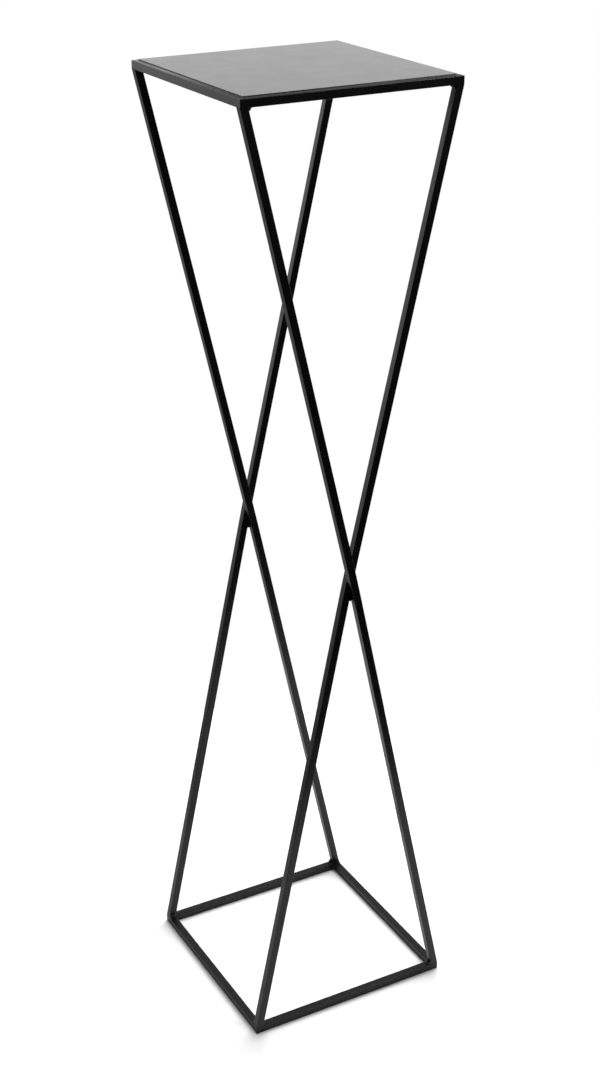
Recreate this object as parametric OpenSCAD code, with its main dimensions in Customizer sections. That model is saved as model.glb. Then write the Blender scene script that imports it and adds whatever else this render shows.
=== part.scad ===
// Display plinth: a square top frame and a square bottom frame of solid square
// bar, joined on two opposite faces by a pair of slanted bars that cross near
// mid-height, with a thin sheet welded on top. All sizes are millimetres.
// Frame: +Z up, origin at the bottom centre, the front face looks along -Y.

/* [Stand] */
// Overall height, floor to the top of the sheet
stand_h = 1000; // [800:10:1200]
// Outside width of both square frames
stand_w = 230; // [180:5:320]
// Side of the solid square bar
bar = 8; // [6:0.5:12]

/* [Top sheet] */
// Thickness of the top sheet
sheet_t = 1.5; // [1:0.5:3]
// Distance from the frame's outer faces to the sheet's edge
sheet_inset = 5; // [2:0.5:5]
// Radius of the sheet's corners, deburred by hand
sheet_corner_r = 1; // [0.5:0.5:3]

/* [Crossing bars] */
// Height of the front crossing above the floor
front_cross_h = 513; // [340:1:640]
// Height of the back crossing above the floor
back_cross_h = 506; // [340:1:640]

/* [Welds] */
// Leg length of the fillets where the bars hang from the top frame
top_fillet = 4; // [2:0.5:6]
// Leg length of the fillets where the bars stand on the bottom frame
foot_fillet = 5; // [3:0.5:6]
// Leg length of the fillets inside the mitred corners
mitre_fillet = 2.5; // [1.5:0.5:4]
// Depth of the bead that fills the lower notch of a crossing
notch_fill = 4; // [3:0.5:8]
// Length of that bead, across the plane in which the two bars touch
notch_len = 4; // [2:0.5:8]
// How far below the sheet's top face the seam around it ends
seam_drop = 0.5; // [0.2:0.1:0.9]

/* [Hidden] */
$fn = 24;

coat = [0.05, 0.05, 0.055];
coat_weld = [0.09, 0.09, 0.095];

half_w = stand_w / 2;
frame_top = stand_h - sheet_t;
leg_top = frame_top - bar;
leg_bottom = bar;

// A slanted bar is wider than itself where a level plane cuts it
slant = atan((stand_w - bar) / (leg_top - leg_bottom));
bar_w = bar / cos(slant);
// Centre line of a bar's ends, measured across the face
end_x = half_w - bar_w / 2;
// Slants of the stretches above and below a crossing at height h
function slant_above(h) = atan(end_x / (leg_top - h));
function slant_below(h) = atan(end_x / (h - leg_bottom));
// Height over which the two bars lie flat on each other, a little more than
// the height over which one covers the other
flat_share = 1.2;
function cross_flat(h) = flat_share * bar_w / tan(min(slant_above(h), slant_below(h)));
// The bars sit flush with the frame at their ends and half a bar out of line
// at the crossing, one outwards and one inwards, so that they touch there
pass = bar / 2;
function tilt_above(h) = atan(pass / (leg_top - h - cross_flat(h) / 2));
function tilt_below(h) = atan(pass / (h - cross_flat(h) / 2 - leg_bottom));
// Contact plane of the two bars, measured from the centre
contact_y = -(half_w - bar / 2);
// Gap between the end of a bead and the edge of the bar it lies on
bead_gap = 0.5;
// Distance of the seam's toe from the frame's outer edge
seam_gap = 0.2;

// Closed outline of a strip that follows a line of points, of one level width
function strip(line, half) = concat(
    [for (p = line) [p[0] - half, p[1]]],
    [for (i = [len(line) - 1:-1:0]) [line[i][0] + half, line[i][1]]]
);

// Draws in the XZ plane, reaching from y0 to y1
module across(y0, y1) {
    translate([0, y1, 0]) rotate([90, 0, 0]) linear_extrude(y1 - y0) children();
}

// Draws in the YZ plane, reaching from x0 to x1
module along(x0, x1) {
    translate([x0, 0, 0]) rotate([90, 0, 90]) linear_extrude(x1 - x0) children();
}

// One mitred rail of a frame, on the front side, its underside at height z
module rail(z) {
    translate([0, 0, z])
        linear_extrude(bar)
            polygon([
                [-half_w, -half_w],
                [half_w, -half_w],
                [half_w - bar, -half_w + bar],
                [-half_w + bar, -half_w + bar]
            ]);
}

// One bar of a front face whose bars cross at height h. side is -1 where its
// top end is at -X and 1 where it is at +X; bow is -1 where it passes outside
// the other bar and 1 where it passes inside
module leg(side, bow, h) {
    face_line = [[side * end_x, leg_top], [0, h], [-side * end_x, leg_bottom]];
    mid_y = contact_y + bow * pass;
    edge_line = [
        [contact_y, leg_top],
        [mid_y, h + cross_flat(h) / 2],
        [mid_y, h - cross_flat(h) / 2],
        [contact_y, leg_bottom]
    ];
    intersection() {
        across(contact_y - 2 * bar, contact_y + 2 * bar)
            polygon(strip(face_line, bar_w / 2));
        along(-half_w, half_w)
            polygon(strip(edge_line, bar / 2));
    }
}

// Fillet beside one end of a bar, on the rail of its own face. The corner of
// the frame is the origin, X runs inwards along the rail, Y away from the face
// and Z along the bar. lean is the bar's slant across the face
module side_fillet(leg_len, lean) {
    across(bead_gap, bar - bead_gap)
        polygon([
            [bar_w, 0],
            [bar_w + leg_len, 0],
            [bar_w + leg_len * sin(lean), leg_len * cos(lean)]
        ]);
}

// Fillet inside one end of a bar, on the rail of the next face, in the same
// frame. tip is the bar's tilt away from its face
module inner_fillet(leg_len, lean, tip) {
    along(bead_gap + leg_len * sin(lean), bar - bead_gap)
        polygon([
            [bar, 0],
            [bar + leg_len, 0],
            [bar + leg_len * sin(tip), leg_len * cos(tip)]
        ]);
}

// Fillets under the top frame at the two bars of a front face
module top_fillets(h) {
    for (side = [0, 1])
        mirror([side, 0, 0])
            translate([-half_w, -half_w, leg_top])
                mirror([0, 0, 1])
                    side_fillet(top_fillet, slant_above(h));
}

// Fillets on the bottom frame at the two bars of a front face. The bar that
// passes outside has its foot at +X, and it leans out from there
module foot_fillets(h) {
    for (side = [0, 1])
        mirror([side, 0, 0])
            translate([-half_w, -half_w, leg_bottom]) {
                side_fillet(foot_fillet, slant_below(h));
                inner_fillet(foot_fillet, slant_below(h), (1 - 2 * side) * tilt_below(h));
            }
}

// Bead in the notch below a front crossing at height h, half on each bar
module crossing_weld(h) {
    // the bars' lower edges part at this height
    notch_top = h - bar_w / 2 / tan(slant_below(h));
    half_base = notch_fill * tan(slant_below(h));
    across(contact_y - notch_len / 2, contact_y + notch_len / 2)
        polygon([
            [0, notch_top],
            [half_base, notch_top - notch_fill],
            [-half_base, notch_top - notch_fill]
        ]);
}

// Upright fillets inside the four mitred corners of a frame whose rails have
// their undersides at height z
module mitre_welds(z) {
    end_gap = 1;
    inner = half_w - bar;
    for (turn = [0:90:270])
        rotate([0, 0, turn])
            translate([-inner, -inner, z + end_gap])
                linear_extrude(bar - 2 * end_gap)
                    polygon([[0, 0], [mitre_fillet, 0], [0, mitre_fillet]]);
}

// Square plate with rounded corners
module plate(w, r, t) {
    linear_extrude(t) {
        square([w - 2 * r, w], center = true);
        square([w, w - 2 * r], center = true);
        for (sx = [-1, 1], sy = [-1, 1])
            translate([sx, sy] * (w / 2 - r))
                circle(r);
    }
}

module top_sheet() {
    color(coat)
        translate([0, 0, frame_top])
            plate(stand_w - 2 * sheet_inset, sheet_corner_r, sheet_t);
}

module top_rail_front() { color(coat) rail(leg_top); }
module top_rail_right() { color(coat) rotate([0, 0, 90]) rail(leg_top); }
module top_rail_back() { color(coat) rotate([0, 0, 180]) rail(leg_top); }
module top_rail_left() { color(coat) rotate([0, 0, 270]) rail(leg_top); }

module bottom_rail_front() { color(coat) rail(0); }
module bottom_rail_right() { color(coat) rotate([0, 0, 90]) rail(0); }
module bottom_rail_back() { color(coat) rotate([0, 0, 180]) rail(0); }
module bottom_rail_left() { color(coat) rotate([0, 0, 270]) rail(0); }

// Turns a front face round to the back
module to_back() { rotate([0, 0, 180]) children(); }

module front_outer_leg() { color(coat) leg(-1, -1, front_cross_h); }
module front_inner_leg() { color(coat) leg(1, 1, front_cross_h); }
module back_outer_leg() { color(coat) to_back() leg(-1, -1, back_cross_h); }
module back_inner_leg() { color(coat) to_back() leg(1, 1, back_cross_h); }

module front_crossing_weld() { color(coat_weld) crossing_weld(front_cross_h); }
module back_crossing_weld() { color(coat_weld) to_back() crossing_weld(back_cross_h); }

module top_leg_welds() {
    color(coat_weld) {
        top_fillets(front_cross_h);
        to_back() top_fillets(back_cross_h);
    }
}

module bottom_leg_welds() {
    color(coat_weld) {
        foot_fillets(front_cross_h);
        to_back() foot_fillets(back_cross_h);
    }
}

module top_mitre_welds() { color(coat_weld) mitre_welds(leg_top); }
module bottom_mitre_welds() { color(coat_weld) mitre_welds(0); }

// One seam around the sheet, ground to a slope from just below its rim down
// to the frame's outer edge
module sheet_welds() {
    sheet_half = half_w - sheet_inset;
    color(coat_weld)
        translate([0, 0, frame_top])
            for (turn = [0:90:270])
                rotate([0, 0, turn])
                    intersection() {
                        along(-half_w, half_w)
                            polygon([
                                [-half_w + seam_gap, 0],
                                [-sheet_half, 0],
                                [-sheet_half, sheet_t - seam_drop]
                            ]);
                        linear_extrude(sheet_t)
                            polygon([[0, 0], [-half_w, -half_w], [half_w, -half_w]]);
                    }
}

top_sheet();
top_rail_front();
top_rail_right();
top_rail_back();
top_rail_left();
bottom_rail_front();
bottom_rail_right();
bottom_rail_back();
bottom_rail_left();
front_outer_leg();
front_inner_leg();
back_outer_leg();
back_inner_leg();
front_crossing_weld();
back_crossing_weld();
top_leg_welds();
bottom_leg_welds();
top_mitre_welds();
bottom_mitre_welds();
sheet_welds();
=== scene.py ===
"""A welded display plinth of square steel bar in black powder coat, and its studio.

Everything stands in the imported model's frame, in metres: +Z up, the front face
looks along -Y, the origin is the centre of the footprint on the floor.
"""

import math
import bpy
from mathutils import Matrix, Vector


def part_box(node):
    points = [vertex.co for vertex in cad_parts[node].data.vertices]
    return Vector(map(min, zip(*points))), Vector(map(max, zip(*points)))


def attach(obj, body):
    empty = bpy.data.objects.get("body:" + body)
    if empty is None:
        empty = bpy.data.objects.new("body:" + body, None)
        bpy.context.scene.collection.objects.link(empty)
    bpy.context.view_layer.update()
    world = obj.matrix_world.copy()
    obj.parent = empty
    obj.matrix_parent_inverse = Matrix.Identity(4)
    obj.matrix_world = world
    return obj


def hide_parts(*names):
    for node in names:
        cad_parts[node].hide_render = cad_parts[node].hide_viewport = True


bl_info = {
    "name": "Display plinth",
    "version": (1, 0, 0),
    "blender": (4, 5, 0),
    "location": "View3D > Sidebar > Plinth",
    "description": "Builds a welded display plinth of square bar, its powder coat and its studio",
    "category": "Object",
}

import bmesh
import bpy
from mathutils import Matrix, Vector

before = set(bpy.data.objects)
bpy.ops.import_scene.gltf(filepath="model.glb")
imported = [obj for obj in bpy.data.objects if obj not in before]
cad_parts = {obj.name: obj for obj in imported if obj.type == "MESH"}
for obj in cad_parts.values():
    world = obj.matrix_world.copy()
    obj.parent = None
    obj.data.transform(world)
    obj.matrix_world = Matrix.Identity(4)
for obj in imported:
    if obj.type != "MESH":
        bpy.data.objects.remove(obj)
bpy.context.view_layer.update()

MM = 0.001
BODY = "root"
SIDES = ("front", "right", "back", "left")
# The two faces that carry legs; the back one is the front one turned half round
FACES = {"front": 0, "back": 2}
# Heights closer than this are one level
LEVEL_GAP = 0.05 * MM
# Faces that meet at more than this have a sharp edge between them
SHARP_ANGLE = math.radians(60)
# A face whose normal is at least this upright is level
LEVEL_NORMAL = 0.9
# Faces across the rounding of a bar's edge, a sheet's rim and a sheet's corner
EDGE_STEPS, RIM_STEPS, CORNER_STEPS = 4, 3, 5
# Points that a cut makes closer than this merge
CUT_MERGE = 1e-7
# Rings of faces along a leg keep at least this apart
RING_GAP = 2 * MM
# Gap between a bead's end and the edge of the steel, at a leg and in a mitre
BEAD_GAP, MITRE_GAP = 0.5 * MM, 1.0 * MM
# Where the round face of a notch bead has its centre, as weld_bead takes it
NOTCH_CROWN = -0.3


def linear(hex_colour):
    """The linear colour of an sRGB hex value such as #0f0f10."""
    shares = [int(hex_colour[i:i + 2], 16) / 255 for i in (1, 3, 5)]
    return tuple(
        s / 12.92 if s <= 0.04045 else ((s + 0.055) / 1.055) ** 2.4 for s in shares
    )


class PlinthSizes(bpy.types.PropertyGroup):
    """Sizes of the details that the steel's plain solids leave out."""

    bar_edge: bpy.props.FloatProperty(
        name="Bar edge", description="Radius of the drawn bar's long edges under the coat",
        default=0.5 * MM, unit="LENGTH")
    sheet_edge: bpy.props.FloatProperty(
        name="Sheet edge", description="Radius of the sheared sheet's deburred rims",
        default=0.3 * MM, unit="LENGTH")
    sheet_corner: bpy.props.FloatProperty(
        name="Sheet corner", description="Radius of the sheet's four corners",
        default=1.0 * MM, unit="LENGTH")
    bend_reach: bpy.props.FloatProperty(
        name="Bend reach", description="Half the length over which a leg bends at a kink",
        default=12 * MM, unit="LENGTH")
    ring_pitch: bpy.props.FloatProperty(
        name="Ring pitch", description="Distance between the rings of faces along a leg",
        default=30 * MM, unit="LENGTH")
    top_bead: bpy.props.FloatProperty(
        name="Top bead", description="Leg length of the beads where the legs meet the top frame",
        default=4 * MM, unit="LENGTH")
    foot_bead: bpy.props.FloatProperty(
        name="Foot bead", description="Leg length of the beads where the legs stand on the frame",
        default=5 * MM, unit="LENGTH")
    notch_bead: bpy.props.FloatProperty(
        name="Notch bead", description="Depth of the bead in the lower notch of a crossing",
        default=4 * MM, unit="LENGTH")
    mitre_bead: bpy.props.FloatProperty(
        name="Mitre bead", description="Leg length of the beads inside the mitred corners",
        default=2.5 * MM, unit="LENGTH")
    seam_crown: bpy.props.FloatProperty(
        name="Seam crown", description="Height by which the ground seam's slope is domed",
        default=0.12 * MM, unit="LENGTH")
    ripple: bpy.props.FloatProperty(
        name="Ripple", description="Distance between the ripples of a weld bead",
        default=1.5 * MM, unit="LENGTH")
    sink: bpy.props.FloatProperty(
        name="Sink", description="Depth to which a bead is fused into the steel",
        default=0.2 * MM, unit="LENGTH")


class PlinthFinish(bpy.types.PropertyGroup):
    """The powder coat's colours and gloss."""

    coat: bpy.props.FloatVectorProperty(
        name="Coat", description="Black powder coat where it lies full",
        subtype="COLOR", default=linear("#0e0e0f"))
    coat_thin: bpy.props.FloatVectorProperty(
        name="Thin coat", description="The coat where it drew thin over an edge",
        subtype="COLOR", default=linear("#161618"))
    bar_gloss: bpy.props.FloatProperty(
        name="Bar roughness", description="Roughness of the coat on the bars",
        subtype="FACTOR", default=0.24, min=0, max=1)
    sheet_gloss: bpy.props.FloatProperty(
        name="Sheet roughness", description="Roughness of the coat on the sheet",
        subtype="FACTOR", default=0.20, min=0, max=1)
    weld_gloss: bpy.props.FloatProperty(
        name="Weld roughness", description="Roughness of the coat on the weld beads",
        subtype="FACTOR", default=0.18, min=0, max=1)


class PlinthStudio(bpy.types.PropertyGroup):
    """The floor, the light and the camera."""

    floor_colour: bpy.props.FloatVectorProperty(
        name="Floor", description="Matt white board that the plinth stands on",
        subtype="COLOR", default=linear("#f2f2f2"))
    floor_radius: bpy.props.FloatProperty(
        name="Floor radius", description="Radius of the round floor board",
        default=0.55, unit="LENGTH")
    floor_in_coat: bpy.props.FloatProperty(
        name="Floor in the coat", description="Share of the floor's light that the coat mirrors",
        default=0.55, min=0, max=1)
    backdrop: bpy.props.FloatProperty(
        name="Backdrop", description="Brightness of the white backdrop behind the plinth",
        default=1.32, min=0)
    room: bpy.props.FloatProperty(
        name="Room", description="Brightness of the dark room in front of the plinth",
        default=0.05, min=0)
    top_light: bpy.props.FloatProperty(
        name="Top light", description="Power of the wide soft light overhead",
        default=24, min=0, unit="POWER")
    key_light: bpy.props.FloatProperty(
        name="Key light", description="Power of the soft light behind and to the right",
        default=82, min=0, unit="POWER")
    front_light: bpy.props.FloatProperty(
        name="Front light", description="Power of the small light at the front right",
        default=6, min=0, unit="POWER")
    lens: bpy.props.FloatProperty(
        name="Lens", description="Focal length on a 36 mm sensor",
        default=60.268, min=1)
    stand_off: bpy.props.FloatProperty(
        name="Stand-off", description="Level distance from the plinth's axis to the camera",
        default=1.6917, unit="LENGTH")
    camera_height: bpy.props.FloatProperty(
        name="Camera height", description="Height of the camera above the floor",
        default=1.2884, unit="LENGTH")
    camera_round: bpy.props.FloatProperty(
        name="Camera round", description="How far the camera stands round to the left of the front",
        default=math.radians(28.505), unit="ROTATION")
    camera_pan: bpy.props.FloatProperty(
        name="Pan", description="Direction in which the camera looks, right of the front's own",
        default=math.radians(28.627), unit="ROTATION")
    camera_tilt: bpy.props.FloatProperty(
        name="Tilt", description="How far the camera looks down",
        default=math.radians(23.251), unit="ROTATION")
    camera_roll: bpy.props.FloatProperty(
        name="Roll", description="Turn of the camera about the line in which it looks",
        default=math.radians(-0.309), unit="ROTATION")
    camera_rise: bpy.props.FloatProperty(
        name="Rise", description="Lens shift that puts the plinth in the middle of the frame",
        default=-0.0339)


# ---------------------------------------------------------------- modelling


def start_piece():
    """Leaves edit mode and selects nothing, before a primitive is added."""
    if bpy.context.object and bpy.context.object.mode != "OBJECT":
        bpy.ops.object.mode_set(mode="OBJECT")
    bpy.ops.object.select_all(action="DESELECT")


def block(name, low, high):
    """A block between two corners, ready to be shaped in edit mode."""
    start_piece()
    low, high = Vector(low), Vector(high)
    bpy.ops.mesh.primitive_cube_add(size=1, location=(low + high) / 2, scale=high - low)
    bpy.ops.object.transform_apply(location=True, rotation=True, scale=True)
    piece = bpy.context.object
    piece.name = piece.data.name = name
    bpy.ops.object.mode_set(mode="EDIT")
    return piece


def pick(piece, kind, test):
    """In edit mode, selects only the vertices, edges or faces that pass the test."""
    bpy.ops.mesh.select_mode(type=kind)
    bpy.ops.mesh.select_all(action="DESELECT")
    mesh = bmesh.from_edit_mesh(piece.data)
    for part in {"VERT": mesh.verts, "EDGE": mesh.edges, "FACE": mesh.faces}[kind]:
        if test(part):
            part.select_set(True)
    mesh.select_flush_mode()
    bmesh.update_edit_mesh(piece.data)


def is_upright(edge):
    """Whether an edge's ends are at two levels."""
    return abs(edge.verts[0].co.z - edge.verts[1].co.z) > LEVEL_GAP


def is_sharp(edge):
    """Whether an edge is a corner of the steel."""
    return edge.calc_face_angle(0) > SHARP_ANGLE


def cut(piece, place, normal, keep_back=False):
    """In edit mode, cuts the whole piece with a plane.

    keep_back drops and closes the side that the normal points to.
    """
    bpy.ops.mesh.select_all(action="SELECT")
    bpy.ops.mesh.bisect(
        plane_co=place, plane_no=normal, use_fill=keep_back, clear_outer=keep_back,
        threshold=CUT_MERGE)


def round_edges(radius, steps):
    """In edit mode, rounds the selected edges."""
    bpy.ops.mesh.bevel(
        offset_type="OFFSET", offset=radius, segments=steps, profile=0.5,
        affect="EDGES", clamp_overlap=True)


def smooth(piece, angle=50):
    """Leaves edit mode and shades the piece smooth, its flats kept flat."""
    bpy.ops.mesh.select_all(action="SELECT")
    bpy.ops.mesh.normals_make_consistent(inside=False)
    bpy.ops.object.mode_set(mode="OBJECT")
    bpy.ops.object.shade_smooth_by_angle(angle=math.radians(angle))
    weigh = piece.modifiers.new("flats", "WEIGHTED_NORMAL")
    weigh.keep_sharp = True
    weigh.weight = 100
    bpy.ops.object.modifier_apply(modifier=weigh.name)
    return piece


def copy_of(piece, name, matrix):
    """A copy of a piece with its own mesh, moved by a matrix."""
    mesh = piece.data.copy()
    mesh.transform(matrix)
    mesh.name = name
    copied = bpy.data.objects.new(name, mesh)
    bpy.context.collection.objects.link(copied)
    return copied


def turned(quarters):
    """A turn of so many quarters about the plinth's upright axis."""
    return Matrix.Rotation(math.radians(90 * quarters), 4, "Z")


def joined(name, pieces):
    """Joins pieces into the first of them, under a new name."""
    start_piece()
    for piece in pieces:
        piece.select_set(True)
    bpy.context.view_layer.objects.active = pieces[0]
    bpy.ops.object.join()
    pieces[0].name = pieces[0].data.name = name
    return pieces[0]


def settle(piece, node, material):
    """Gives a finished piece its coat and its body, and hides the CAD node it stands for."""
    piece.data.materials.append(material)
    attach(piece, BODY)
    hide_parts(node)


# ---------------------------------------------------------------- places


def bar_size():
    """Side of the square bar, from a rail's own height."""
    low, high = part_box("top_rail_front")
    return high.z - low.z


def frame_half():
    """Half the outside width of the frames."""
    return -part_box("top_rail_front")[0].y


def leg_levels(node):
    """The height, centre across, centre out and width of each level where a leg turns."""
    corners = [v.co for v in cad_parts[node].data.vertices]
    heights = []
    for z in sorted(c.z for c in corners):
        if not heights or z - heights[-1] > LEVEL_GAP:
            heights.append(z)
    levels = []
    for z in heights:
        ring = [c for c in corners if abs(c.z - z) < LEVEL_GAP]
        xs, ys = [c.x for c in ring], [c.y for c in ring]
        across, out = (min(xs) + max(xs)) / 2, (min(ys) + max(ys)) / 2
        levels.append((z, across, out, max(xs) - min(xs)))
    return levels


def leg_slant(node, at_top):
    """Angle by which a leg's end leans across its face."""
    levels = leg_levels(node)
    near, far = (levels[-1], levels[-2]) if at_top else (levels[0], levels[1])
    return math.atan(abs((near[1] - far[1]) / (near[0] - far[0])))


def eased(levels, z, column, reach):
    """A leg's centre at a height, its kinks eased into bends that reach so far each way.

    column is 0 for the centre across the face and 1 for the centre out of it.
    """
    value = 0
    for (z0, *low), (z1, *high) in zip(levels, levels[1:]):
        if z0 - LEVEL_GAP <= z <= z1 + LEVEL_GAP:
            share = (z - z0) / (z1 - z0)
            value = low[column] + share * (high[column] - low[column])
            break
    for before, kink, after in zip(levels, levels[1:], levels[2:]):
        gap = abs(z - kink[0])
        if gap < reach:
            slope_in = (kink[column + 1] - before[column + 1]) / (kink[0] - before[0])
            slope_out = (after[column + 1] - kink[column + 1]) / (after[0] - kink[0])
            value += (slope_out - slope_in) * (reach - gap) ** 2 / (4 * reach)
    return value


# ---------------------------------------------------------------- finishes


def add_node(owner, kind, links=None, **settings):
    """Adds a node with its settings to a material or the world.

    links gives a socket a value or another node's output.
    """
    node = owner.node_tree.nodes.new(kind)
    for name, value in settings.items():
        setattr(node, name, value)
    for socket, value in (links or {}).items():
        if isinstance(value, bpy.types.NodeSocket):
            owner.node_tree.links.new(value, node.inputs[socket])
        else:
            node.inputs[socket].default_value = value
    return node


def powder_coat(name, gloss, patch, peel_mm, peel_depth_mm, sway_mm, sway_depth_mm):
    """Black polyester powder coat, sprayed dry on blasted steel and baked.

    The powder melts into a satin skin with a faint orange peel and a finer grit,
    a little glossier where it lay thick. It draws thin over the edges, which
    look paler. patch is how much the roughness varies with the coat's thickness,
    and sway is the steel's own slow unevenness under the coat.
    """
    material = bpy.data.materials.get(name)
    if material:
        return material
    finish = bpy.context.scene.plinth_finish
    material = bpy.data.materials.new(name)
    material.use_nodes = True
    material.node_tree.nodes.clear()
    place = add_node(material, "ShaderNodeTexCoord").outputs["Object"]

    def noise(size_mm, detail):
        return add_node(
            material, "ShaderNodeTexNoise",
            {"Vector": place, "Scale": 1 / (size_mm * MM), "Detail": detail}).outputs["Fac"]

    # How thick the powder lay, in patches of some centimetres
    patches = noise(size_mm=26, detail=3)
    # Specks of grit in the coat; real ones are 0.1 mm, drawn at 0.5 mm to show
    grit = noise(size_mm=0.5, detail=2)
    grit_share = 0.05
    rough = add_node(
        material, "ShaderNodeMapRange",
        {"Value": patches, "From Min": 0.3, "From Max": 0.7,
         "To Min": gloss - patch, "To Max": gloss + patch})
    speckled = add_node(
        material, "ShaderNodeMath",
        {0: grit, 1: grit_share, 2: rough.outputs["Result"]}, operation="MULTIPLY_ADD")
    # Pointiness picks out the rounded edges, where the coat drew thin
    edge = add_node(
        material, "ShaderNodeMapRange",
        {"Value": add_node(material, "ShaderNodeNewGeometry").outputs["Pointiness"],
         "From Min": 0.52, "From Max": 0.62, "To Min": 0.0, "To Max": 0.8},
        interpolation_type="SMOOTHSTEP")
    broken_edge = add_node(
        material, "ShaderNodeMath",
        {0: edge.outputs["Result"], 1: noise(size_mm=4, detail=2)}, operation="MULTIPLY")
    tone = add_node(
        material, "ShaderNodeMix", {"Factor": broken_edge.outputs[0]}, data_type="RGBA")
    for socket, colour in (("A", finish.coat), ("B", finish.coat_thin)):
        [s for s in tone.inputs if s.name == socket and s.type == "RGBA"][0].default_value = (
            *colour, 1)
    sway = add_node(
        material, "ShaderNodeBump",
        {"Height": noise(sway_mm, 1), "Distance": sway_depth_mm * MM, "Strength": 1.0})
    peel = add_node(
        material, "ShaderNodeBump",
        {"Height": noise(peel_mm, 2), "Distance": peel_depth_mm * MM, "Strength": 1.0,
         "Normal": sway.outputs["Normal"]})
    coat = add_node(
        material, "ShaderNodeBsdfPrincipled",
        {"Base Color": [s for s in tone.outputs if s.type == "RGBA"][0],
         "Roughness": speckled.outputs[0], "IOR": 1.5, "Normal": peel.outputs["Normal"]})
    add_node(material, "ShaderNodeOutputMaterial", {"Surface": coat.outputs["BSDF"]})
    return material


def bar_coat():
    """The coat on cold-drawn square bar: even, with the drawn bar's faint long waves."""
    gloss = bpy.context.scene.plinth_finish.bar_gloss
    return powder_coat(
        "satin powder coat on drawn steel bar", gloss, patch=0.035,
        peel_mm=1.4, peel_depth_mm=0.012, sway_mm=40, sway_depth_mm=0.06)


def sheet_coat():
    """The coat on rolled sheet: the widest flat, so its peel and its slight warp show most."""
    gloss = bpy.context.scene.plinth_finish.sheet_gloss
    return powder_coat(
        "satin powder coat on rolled steel sheet", gloss, patch=0.010,
        peel_mm=1.6, peel_depth_mm=0.005, sway_mm=90, sway_depth_mm=0.05)


def weld_coat():
    """The coat on weld metal: pooled between the ripples, so rounder and glossier."""
    gloss = bpy.context.scene.plinth_finish.weld_gloss
    return powder_coat(
        "satin powder coat over weld metal", gloss, patch=0.035,
        peel_mm=0.9, peel_depth_mm=0.030, sway_mm=5, sway_depth_mm=0.20)


def seam_coat():
    """The coat on weld metal ground to a slope: satin, with the grinder's slow hollows."""
    gloss = bpy.context.scene.plinth_finish.bar_gloss
    return powder_coat(
        "satin powder coat over ground weld", gloss, patch=0.035,
        peel_mm=1.4, peel_depth_mm=0.012, sway_mm=14, sway_depth_mm=0.15)


# ---------------------------------------------------------------- welds


def weld_bead(name, opening, leg, length, crown=0.5):
    """A rippled bead in a corner whose two walls open by an angle about +X, laid along +Z.

    leg is how far it reaches up each wall, and crown how far behind the corner
    the round face has its centre, as a share of leg.
    """
    sizes = bpy.context.scene.plinth_sizes
    half = opening / 2
    behind = crown * leg
    radius = math.sqrt(behind ** 2 + leg ** 2 + 2 * behind * leg * math.cos(half))
    around = 72
    start_piece()
    bpy.ops.mesh.primitive_cylinder_add(
        vertices=around, radius=radius, depth=length, location=(-behind, 0, length / 2))
    bpy.ops.object.transform_apply(location=True, rotation=True, scale=True)
    bead = bpy.context.object
    bead.name = bead.data.name = name
    bpy.ops.object.mode_set(mode="EDIT")

    steps = 4
    ripples = max(3, round(length / sizes.ripple))
    count = ripples * steps
    heights = [length * i / count for i in range(count + 1)]
    for z in heights[1:-1]:
        cut(bead, (0, 0, z), (0, 0, 1))
    # The last part of the bead on either side runs out to a rounded end
    leg_share, length_share = 0.6, 0.45
    run_out = min(leg_share * leg, length_share * length)
    end_share = 0.45
    ripple_share = 0.035
    # A second, slower wave makes the hand-laid ripples uneven
    uneven, uneven_pace = 0.5, 1.7
    ring_reach = 0.01 * length / count
    for i, z in enumerate(heights):
        inward = min(1, max(0, min(z, length - z)) / run_out)
        taper = end_share + (1 - end_share) * math.sqrt(1 - (1 - inward) ** 2)
        ripple = abs(math.sin(math.pi * i / steps))
        wave = ripple + uneven * math.sin(uneven_pace * i / steps)
        size = taper * (1 + ripple_share * (wave - 1))
        pick(bead, "VERT", lambda v: abs(v.co.z - z) < ring_reach)
        bpy.ops.transform.resize(value=(size, size, 1), center_override=(0, 0, z))
    for side in (1, -1):
        wall = Vector((-math.sin(half), side * math.cos(half), 0))
        cut(bead, wall * sizes.sink, wall, keep_back=True)
    return smooth(bead, 60)


def laid(bead, name, start, run, wall_a, wall_b):
    """A copy of a bead laid in a corner: from start along run, between two walls."""
    run = Vector(run).normalized()
    middle = (Vector(wall_a).normalized() + Vector(wall_b).normalized()).normalized()
    aside = run.cross(middle)
    matrix = Matrix((middle, aside, run)).transposed().to_4x4()
    matrix.translation = Vector(start)
    return copy_of(bead, name, matrix)


def drop(piece):
    """Removes a pattern piece once its copies are laid."""
    bpy.data.objects.remove(piece)


# ---------------------------------------------------------------- operators


class PLINTH_OT_sheet(bpy.types.Operator):
    """Thin square sheet on the top frame, its corners and rims deburred"""

    bl_idname = "plinth.sheet"
    bl_label = "Top sheet"

    def execute(self, context):
        sizes = context.scene.plinth_sizes
        low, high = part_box("top_sheet")
        sheet = block("top_sheet_plate", low, high)
        pick(sheet, "EDGE", is_upright)
        round_edges(sizes.sheet_corner, CORNER_STEPS)
        pick(sheet, "EDGE", is_sharp)
        round_edges(sizes.sheet_edge, RIM_STEPS)
        smooth(sheet)
        settle(sheet, "top_sheet", sheet_coat())
        return {"FINISHED"}


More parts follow.
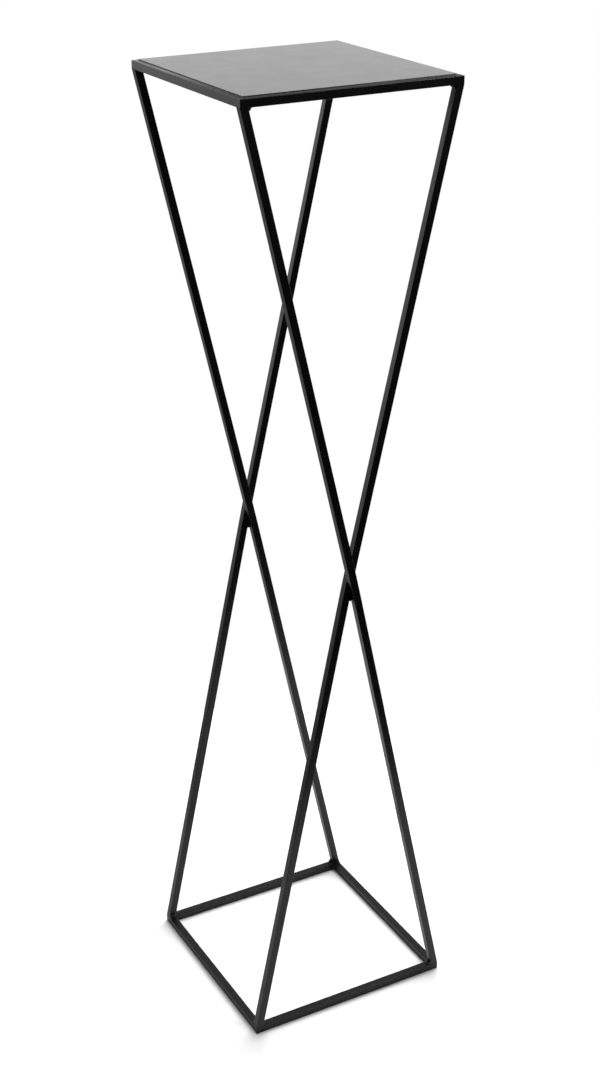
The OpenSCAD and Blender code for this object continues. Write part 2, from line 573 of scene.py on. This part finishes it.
class PLINTH_OT_rails(bpy.types.Operator):
    """Eight mitred rails of the top and bottom frames, cut from one rounded ring"""

    bl_idname = "plinth.rails"
    bl_label = "Frame rails"

    def execute(self, context):
        sizes = context.scene.plinth_sizes
        half, bar = frame_half(), bar_size()
        ring = block("rail_pattern", (-half, -half, 0), (half, half, bar))
        pick(ring, "FACE", lambda f: abs(f.normal.z) > LEVEL_NORMAL)
        bpy.ops.mesh.inset(thickness=bar, use_even_offset=True)
        bpy.ops.mesh.bridge_edge_loops()
        inner = half - bar

        def long_or_outer(edge):
            middle = (edge.verts[0].co + edge.verts[1].co) / 2
            inside = max(abs(middle.x), abs(middle.y)) < inner + LEVEL_GAP
            return is_sharp(edge) and not (is_upright(edge) and inside)

        pick(ring, "EDGE", long_or_outer)
        round_edges(sizes.bar_edge, EDGE_STEPS)
        cut(ring, (0, 0, 0), (1, 1, 0), keep_back=True)
        cut(ring, (0, 0, 0), (-1, 1, 0), keep_back=True)
        smooth(ring)
        for level in ("bottom", "top"):
            rise = Matrix.Translation((0, 0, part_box(level + "_rail_front")[0].z))
            for quarters, side in enumerate(SIDES):
                node = f"{level}_rail_{side}"
                rail = copy_of(ring, node + "_bar", rise @ turned(quarters))
                settle(rail, node, bar_coat())
        drop(ring)
        return {"FINISHED"}


class PLINTH_OT_legs(bpy.types.Operator):
    """Four slanted bars that cross in pairs on the front and the back face"""

    bl_idname = "plinth.legs"
    bl_label = "Crossing legs"

    def execute(self, context):
        for node in (f"{face}_{place}_leg" for face in FACES for place in ("outer", "inner")):
            leg = self.model(context.scene.plinth_sizes, node)
            settle(leg, node, bar_coat())
        return {"FINISHED"}

    def model(self, sizes, node):
        """A bar swept along the steel's own centre line, its long edges rounded."""
        levels = leg_levels(node)
        foot, head = levels[0][0], levels[-1][0]
        wide, bar = levels[0][3], bar_size()
        leg = block(node + "_bar", (-wide / 2, -bar / 2, foot), (wide / 2, bar / 2, head))
        heights = {foot, head}
        pitch = (head - foot) / round((head - foot) / sizes.ring_pitch)
        heights.update(foot + pitch * i for i in range(1, round((head - foot) / pitch)))
        for kink in levels[1:-1]:
            heights.update(
                kink[0] + sizes.bend_reach * share for share in (-1, -0.5, 0, 0.5, 1))
        heights = sorted(heights)
        heights = [
            z for z, after in zip(heights, heights[1:] + [math.inf]) if after - z > RING_GAP]
        for z in heights[1:-1]:
            cut(leg, (0, 0, z), (0, 0, 1))
        for z in heights:
            x, y = (eased(levels, z, column, sizes.bend_reach) for column in (0, 1))
            pick(leg, "VERT", lambda v: abs(v.co.z - z) < LEVEL_GAP)
            bpy.ops.transform.translate(value=(x, y, 0))
        pick(leg, "EDGE", is_upright)
        round_edges(sizes.bar_edge, EDGE_STEPS)
        return smooth(leg)


class PLINTH_OT_crossing_welds(bpy.types.Operator):
    """Bead in the lower notch of each crossing"""

    bl_idname = "plinth.crossing_welds"
    bl_label = "Crossing welds"

    def execute(self, context):
        sizes = context.scene.plinth_sizes
        for face, quarters in FACES.items():
            node = face + "_crossing_weld"
            low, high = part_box(node)
            slant = leg_slant(face + "_inner_leg", at_top=False)
            leg = sizes.notch_bead / math.cos(slant)
            pattern = weld_bead(
                "notch_pattern", 2 * slant, leg, high.y - low.y, NOTCH_CROWN)
            walls = [(side * math.sin(slant), 0, -math.cos(slant)) for side in (1, -1)]
            top = (0, -max(high.y, -low.y), high.z)
            bead = laid(pattern, "bead", top, (0, 1, 0), *walls)
            bead.data.transform(turned(quarters))
            bead.name = bead.data.name = face + "_crossing_bead"
            settle(bead, node, weld_coat())
            drop(pattern)
        return {"FINISHED"}


class PLINTH_OT_leg_welds(bpy.types.Operator):
    """Beads beside both ends of each leg, and inside its foot"""

    bl_idname = "plinth.leg_welds"
    bl_label = "Leg end welds"

    def execute(self, context):
        sizes = context.scene.plinth_sizes
        for level, size in (("top", sizes.top_bead), ("bottom", sizes.foot_bead)):
            beads = []
            for face, quarters in FACES.items():
                for bead in self.face_beads(level == "top", face, size):
                    bead.data.transform(turned(quarters))
                    beads.append(bead)
            piece = joined(f"{level}_leg_beads", beads)
            settle(piece, f"{level}_leg_welds", weld_coat())
        return {"FINISHED"}

    def face_beads(self, at_top, face, size):
        """The beads at one end of a face's two legs, as if it were the front face."""
        half, bar = frame_half(), bar_size()
        leg = face + "_outer_leg"
        wide, lean = leg_levels(leg)[0][3], leg_slant(leg, at_top)
        end_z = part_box("top_rail_front")[0].z if at_top else bar
        away = -1 if at_top else 1
        side_bead = weld_bead("side_pattern", math.pi / 2 - lean, size, bar - 2 * BEAD_GAP)
        beads = []
        for side in (-1, 1):
            # Along the face the leg leans inwards; places count from the frame's corner
            inwards = Vector((-side, 0, 0))
            along_leg = inwards * math.sin(lean) + Vector((0, 0, away * math.cos(lean)))
            corner = Vector((side * half, -half, end_z))
            beads.append(laid(
                side_bead, "bead", corner + inwards * wide + Vector((0, BEAD_GAP, 0)),
                (0, 1, 0), inwards, along_leg))
        drop(side_bead)
        if at_top:
            return beads
        inner_bead = weld_bead("inner_pattern", math.pi / 2, size, wide - 2 * BEAD_GAP)
        for side in (-1, 1):
            inwards = Vector((-side, 0, 0))
            corner = Vector((side * half, -half, end_z))
            beads.append(laid(
                inner_bead, "bead", corner + inwards * BEAD_GAP + Vector((0, bar, 0)),
                inwards, (0, 1, 0), (0, 0, away)))
        drop(inner_bead)
        return beads


class PLINTH_OT_mitre_welds(bpy.types.Operator):
    """Upright bead inside each mitred corner of both frames"""

    bl_idname = "plinth.mitre_welds"
    bl_label = "Mitre welds"

    def execute(self, context):
        sizes = context.scene.plinth_sizes
        inner = frame_half() - bar_size()
        length = bar_size() - 2 * MITRE_GAP
        bead = weld_bead("mitre_pattern", math.pi / 2, sizes.mitre_bead, length)
        for level in ("top", "bottom"):
            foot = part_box(level + "_rail_front")[0].z + MITRE_GAP
            first = laid(
                bead, "bead", (-inner, -inner, foot), (0, 0, 1), (1, 0, 0), (0, 1, 0))
            beads = [first] + [copy_of(first, "bead", turned(n)) for n in (1, 2, 3)]
            piece = joined(f"{level}_mitre_beads", beads)
            settle(piece, f"{level}_mitre_welds", weld_coat())
        drop(bead)
        return {"FINISHED"}


class PLINTH_OT_sheet_welds(bpy.types.Operator):
    """Seam around the sheet, ground to a slope down to the frame's outer edge"""

    bl_idname = "plinth.sheet_welds"
    bl_label = "Sheet seam"

    def execute(self, context):
        sizes = context.scene.plinth_sizes
        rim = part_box("top_sheet")[1].x
        low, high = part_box("sheet_welds")
        # The seam's toe is fused into the rails as deep as the other beads
        low.z -= sizes.sink
        seam = block("sheet_seam", low, high)
        pick(seam, "FACE", lambda f: f.normal.z > LEVEL_NORMAL)
        bpy.ops.transform.resize(value=(rim / high.x, rim / high.x, 1))
        pick(seam, "FACE", lambda f: f.normal.z < -LEVEL_NORMAL)
        bpy.ops.mesh.inset(thickness=high.x - rim, use_even_offset=True)

        def within_rim(face):
            reach = max(abs(v.co.x) for v in face.verts)
            return abs(face.normal.z) > LEVEL_NORMAL and reach < rim + LEVEL_GAP

        pick(seam, "FACE", within_rim)
        bpy.ops.mesh.bridge_edge_loops()
        middle = (low.z + high.z) / 2
        cut(seam, (0, 0, middle), (0, 0, 1))
        slope = (rim + high.x) / 2

        def on_slope(vertex):
            return abs(vertex.co.z - middle) < LEVEL_GAP and abs(vertex.co.x) > rim + MM

        pick(seam, "VERT", on_slope)
        grow = 1 + sizes.seam_crown * (high.x - rim) / (high.z - low.z) / slope
        bpy.ops.transform.resize(value=(grow, grow, 1))
        smooth(seam)
        settle(seam, "sheet_welds", seam_coat())
        return {"FINISHED"}


class PLINTH_OT_studio(bpy.types.Operator):
    """Pale floor, soft studio light and the camera"""

    bl_idname = "plinth.studio"
    bl_label = "Studio"

    def execute(self, context):
        studio = context.scene.plinth_studio
        context.scene.view_settings.view_transform = "Standard"
        self.floor(studio)
        self.surroundings(studio)
        self.light(studio)
        self.camera(context.scene, studio)
        return {"FINISHED"}

    def floor(self, studio):
        """Round white board, wide enough for the contact shadow and the coat's reflections."""
        start_piece()
        rim_points = 96
        bpy.ops.mesh.primitive_circle_add(
            vertices=rim_points, radius=studio.floor_radius, fill_type="NGON")
        floor = bpy.context.object
        floor.name = "floor_board"
        material = bpy.data.materials.new("matt white board")
        material.use_nodes = True
        material.node_tree.nodes.clear()
        # The camera sees the lit floor burnt out to white; the coat mirrors it darker
        mirrored = add_node(material, "ShaderNodeLightPath").outputs["Is Glossy Ray"]
        shade = add_node(
            material, "ShaderNodeMapRange",
            {"Value": mirrored, "To Min": 1.0, "To Max": studio.floor_in_coat})
        colour = add_node(
            material, "ShaderNodeVectorMath",
            {0: studio.floor_colour, "Scale": shade.outputs["Result"]}, operation="SCALE")
        board = add_node(
            material, "ShaderNodeBsdfDiffuse", {"Color": colour.outputs["Vector"]})
        add_node(material, "ShaderNodeOutputMaterial", {"Surface": board.outputs["BSDF"]})
        floor.data.materials.append(material)

    def surroundings(self, studio):
        """White backdrop behind, dark room in front, and plain white for the camera."""
        world = bpy.data.worlds.new("studio")
        bpy.context.scene.world = world
        world.use_nodes = True
        world.node_tree.nodes.clear()
        way = add_node(world, "ShaderNodeTexCoord").outputs["Generated"]
        behind = (math.sin(studio.camera_pan), math.cos(studio.camera_pan), 0)
        facing = add_node(
            world, "ShaderNodeVectorMath", {0: way, 1: behind}, operation="DOT_PRODUCT")
        wall = add_node(
            world, "ShaderNodeMapRange",
            {"Value": facing.outputs["Value"], "From Min": -0.3, "From Max": 0.8,
             "To Min": studio.room, "To Max": studio.backdrop},
            interpolation_type="SMOOTHSTEP")
        # The backdrop is bright near eye level only, and dims above and below
        height = add_node(world, "ShaderNodeSeparateXYZ", {"Vector": way}).outputs["Z"]
        upper = add_node(
            world, "ShaderNodeMapRange",
            {"Value": height, "From Min": 0.2, "From Max": 0.34,
             "To Min": 1.0, "To Max": 0.26},
            interpolation_type="SMOOTHSTEP")
        lower = add_node(
            world, "ShaderNodeMapRange",
            {"Value": height, "From Min": -0.24, "From Max": -0.10,
             "To Min": 0.30, "To Max": 1.0},
            interpolation_type="SMOOTHSTEP")
        levels = add_node(
            world, "ShaderNodeMath",
            {0: upper.outputs["Result"], 1: lower.outputs["Result"]}, operation="MULTIPLY")
        glow = add_node(
            world, "ShaderNodeMath",
            {0: wall.outputs["Result"], 1: levels.outputs[0]}, operation="MULTIPLY")
        around = add_node(
            world, "ShaderNodeBackground",
            {"Color": (1, 1, 1, 1), "Strength": glow.outputs[0]})
        white = add_node(world, "ShaderNodeBackground", {"Color": (1, 1, 1, 1)})
        seen = add_node(world, "ShaderNodeLightPath").outputs["Is Camera Ray"]
        mixed = add_node(
            world, "ShaderNodeMixShader",
            {0: seen, 1: around.outputs[0], 2: white.outputs[0]})
        add_node(world, "ShaderNodeOutputWorld", {"Surface": mixed.outputs[0]})

    def light(self, studio):
        """Two wide lights for the floor, and a small one that glints on beads and edges.

        Each has its name, place, size, power and whether the coat mirrors it.
        """
        for name, place, size, power, mirrored in (
            ("top_light", (0, 0.3, 2.4), 2.0, studio.top_light, False),
            # Behind and to the right, so that the shadows fall forwards
            ("key_light", (1.15, 0.95, 1.8), 2.4, studio.key_light, False),
            ("front_light", (0.8, -1.06, 1.5), 0.25, studio.front_light, True),
        ):
            bpy.ops.object.light_add(type="AREA", location=place)
            lamp = bpy.context.object
            lamp.name = name
            lamp.rotation_euler = Vector(place).to_track_quat("Z", "Y").to_euler()
            lamp.data.shape = "SQUARE"
            lamp.data.size = size
            lamp.data.energy = power
            lamp.visible_camera = False
            lamp.visible_glossy = mirrored

    def camera(self, scene, studio):
        """Camera on the left of the front, above the top sheet, looking down."""
        place = Vector((
            -studio.stand_off * math.sin(studio.camera_round),
            -studio.stand_off * math.cos(studio.camera_round),
            studio.camera_height))
        bpy.ops.object.camera_add(location=place)
        camera = bpy.context.object
        camera.name = "studio_camera"
        camera.data.lens = studio.lens
        camera.data.sensor_width = 36
        camera.data.shift_y = studio.camera_rise
        camera.data.clip_start = 0.01
        camera.matrix_world = (
            Matrix.Translation(place)
            @ Matrix.Rotation(-studio.camera_pan, 4, "Z")
            @ Matrix.Rotation(math.pi / 2 - studio.camera_tilt, 4, "X")
            @ Matrix.Rotation(studio.camera_roll, 4, "Z"))
        scene.camera = camera


STEPS = (
    PLINTH_OT_sheet,
    PLINTH_OT_rails,
    PLINTH_OT_legs,
    PLINTH_OT_crossing_welds,
    PLINTH_OT_leg_welds,
    PLINTH_OT_mitre_welds,
    PLINTH_OT_sheet_welds,
    PLINTH_OT_studio,
)


class PLINTH_PT_steps(bpy.types.Panel):
    """The plinth's pieces and its studio, in the order in which they are made"""

    bl_label = "Display plinth"
    bl_idname = "PLINTH_PT_steps"
    bl_space_type = "VIEW_3D"
    bl_region_type = "UI"
    bl_category = "Plinth"

    def draw(self, context):
        for step in STEPS:
            self.layout.operator(step.bl_idname)
        for group in (
            context.scene.plinth_sizes, context.scene.plinth_finish, context.scene.plinth_studio
        ):
            box = self.layout.box()
            for name in group.__annotations__:
                box.prop(group, name)


GROUPS = {
    "plinth_sizes": PlinthSizes,
    "plinth_finish": PlinthFinish,
    "plinth_studio": PlinthStudio,
}


def register():
    for cls in (*GROUPS.values(), *STEPS, PLINTH_PT_steps):
        bpy.utils.register_class(cls)
    for name, group in GROUPS.items():
        setattr(bpy.types.Scene, name, bpy.props.PointerProperty(type=group))


def unregister():
    for name in GROUPS:
        delattr(bpy.types.Scene, name)
    for cls in reversed((*GROUPS.values(), *STEPS, PLINTH_PT_steps)):
        bpy.utils.unregister_class(cls)


def main():
    """Registers the steps, then makes everything."""
    register()
    bpy.ops.plinth.sheet()
    bpy.ops.plinth.rails()
    bpy.ops.plinth.legs()
    bpy.ops.plinth.crossing_welds()
    bpy.ops.plinth.leg_welds()
    bpy.ops.plinth.mitre_welds()
    bpy.ops.plinth.sheet_welds()
    bpy.ops.plinth.studio()


if __name__ == "__main__":
    main()
